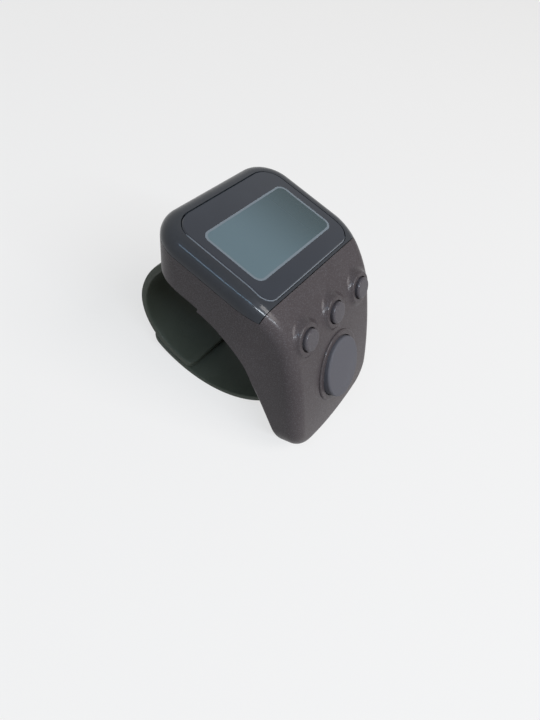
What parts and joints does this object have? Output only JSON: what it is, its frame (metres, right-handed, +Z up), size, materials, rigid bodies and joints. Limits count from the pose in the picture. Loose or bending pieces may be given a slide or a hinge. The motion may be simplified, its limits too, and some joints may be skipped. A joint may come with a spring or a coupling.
{
  "type": "finger tally counter",
  "caption": "Finger-ring digital tally counter: curved case with a display, a large oval count key, small round keys and a pegged rubber strap.",
  "frame": {"origin": "on the ground under the middle of the counter's bounding box, as it stands on the tip of its arm and on its strap", "axes": "+X along the finger, from the near to the far side in the picture; -Y towards the keys; +Z up"},
  "size_m": [0.027, 0.0372, 0.0319],
  "materials": {
    "top_case": "satin metallic paint",
    "display_bezel": "gloss paint",
    "display_lens": "polished",
    "lcd_glass": "polished",
    "lcd_reflector": "matte",
    "zebra_strips": "matte",
    "main_board": "satin",
    "controller_chip": "gloss",
    "quartz_crystal": "polished",
    "backlight_led": "gloss",
    "coin_cell": "brushed",
    "negative_contact": "plated",
    "positive_contact": "plated",
    "ribbon_cable": "satin",
    "key_board": "satin",
    "switch_bodies": "matte",
    "count_plunger": "matte",
    "reset_plunger": "matte",
    "lock_plunger": "matte",
    "light_plunger": "matte",
    "count_button": "matte",
    "reset_button": "satin metallic paint",
    "lock_button": "satin metallic paint",
    "light_button": "satin metallic paint",
    "bottom_case": "fine matte",
    "battery_door": "fine matte",
    "battery_door_screw": "zinc",
    "case_screws": "zinc",
    "front_strap": "smooth matte",
    "front_strap_pin": "plain",
    "rear_strap": "smooth matte",
    "rear_strap_pin": "plain"
  },
  "bodies": {
    "case": {"top_case": "top_case", "display_bezel": "display_bezel", "display_lens": "display_lens", "lcd_glass": "lcd_glass", "lcd_reflector": "lcd_reflector", "zebra_strips": "zebra_strips", "main_board": "main_board", "controller_chip": "controller_chip", "quartz_crystal": "quartz_crystal", "backlight_led": "backlight_led", "coin_cell": "coin_cell", "negative_contact": "negative_contact", "positive_contact": "positive_contact", "ribbon_cable": "ribbon_cable", "key_board": "key_board", "switch_bodies": "switch_bodies", "bottom_case": "bottom_case", "battery_door": "battery_door", "battery_door_screw": "battery_door_screw", "case_screws": "case_screws", "front_strap_pin": "front_strap_pin", "rear_strap": "rear_strap", "rear_strap_pin": "rear_strap_pin"},
    "count_key": {"count_button": "count_button", "count_plunger": "count_plunger"},
    "reset_key": {"reset_button": "reset_button", "reset_plunger": "reset_plunger"},
    "lock_key": {"lock_button": "lock_button", "lock_plunger": "lock_plunger"},
    "light_key": {"light_button": "light_button", "light_plunger": "light_plunger"},
    "strap": {"front_strap": "front_strap"}
  },
  "joints": [
    {"name": "count_press", "type": "slide", "parent": "case", "child": "count_key", "axis": [0, 0.9232, -0.3844], "range_m": [0, 0.0006], "stiffness_N_per_m": 900, "springref_m": -0.0008},
    {"name": "reset_press", "type": "slide", "parent": "case", "child": "reset_key", "axis": [0, 0.9232, -0.3844], "range_m": [0, 0.0005], "stiffness_N_per_m": 800, "springref_m": -0.0008},
    {"name": "lock_press", "type": "slide", "parent": "case", "child": "lock_key", "axis": [0, 0.9232, -0.3844], "range_m": [0, 0.0005], "stiffness_N_per_m": 800, "springref_m": -0.0008},
    {"name": "light_press", "type": "slide", "parent": "case", "child": "light_key", "axis": [0, 0.9232, -0.3844], "range_m": [0, 0.0005], "stiffness_N_per_m": 800, "springref_m": -0.0008},
    {"name": "strap_hinge", "type": "hinge", "parent": "case", "child": "strap", "pos_m": [0, -0.01068, 0.00976], "axis": [-1, 0, 0], "range_deg": [0, 50]}
  ]
}
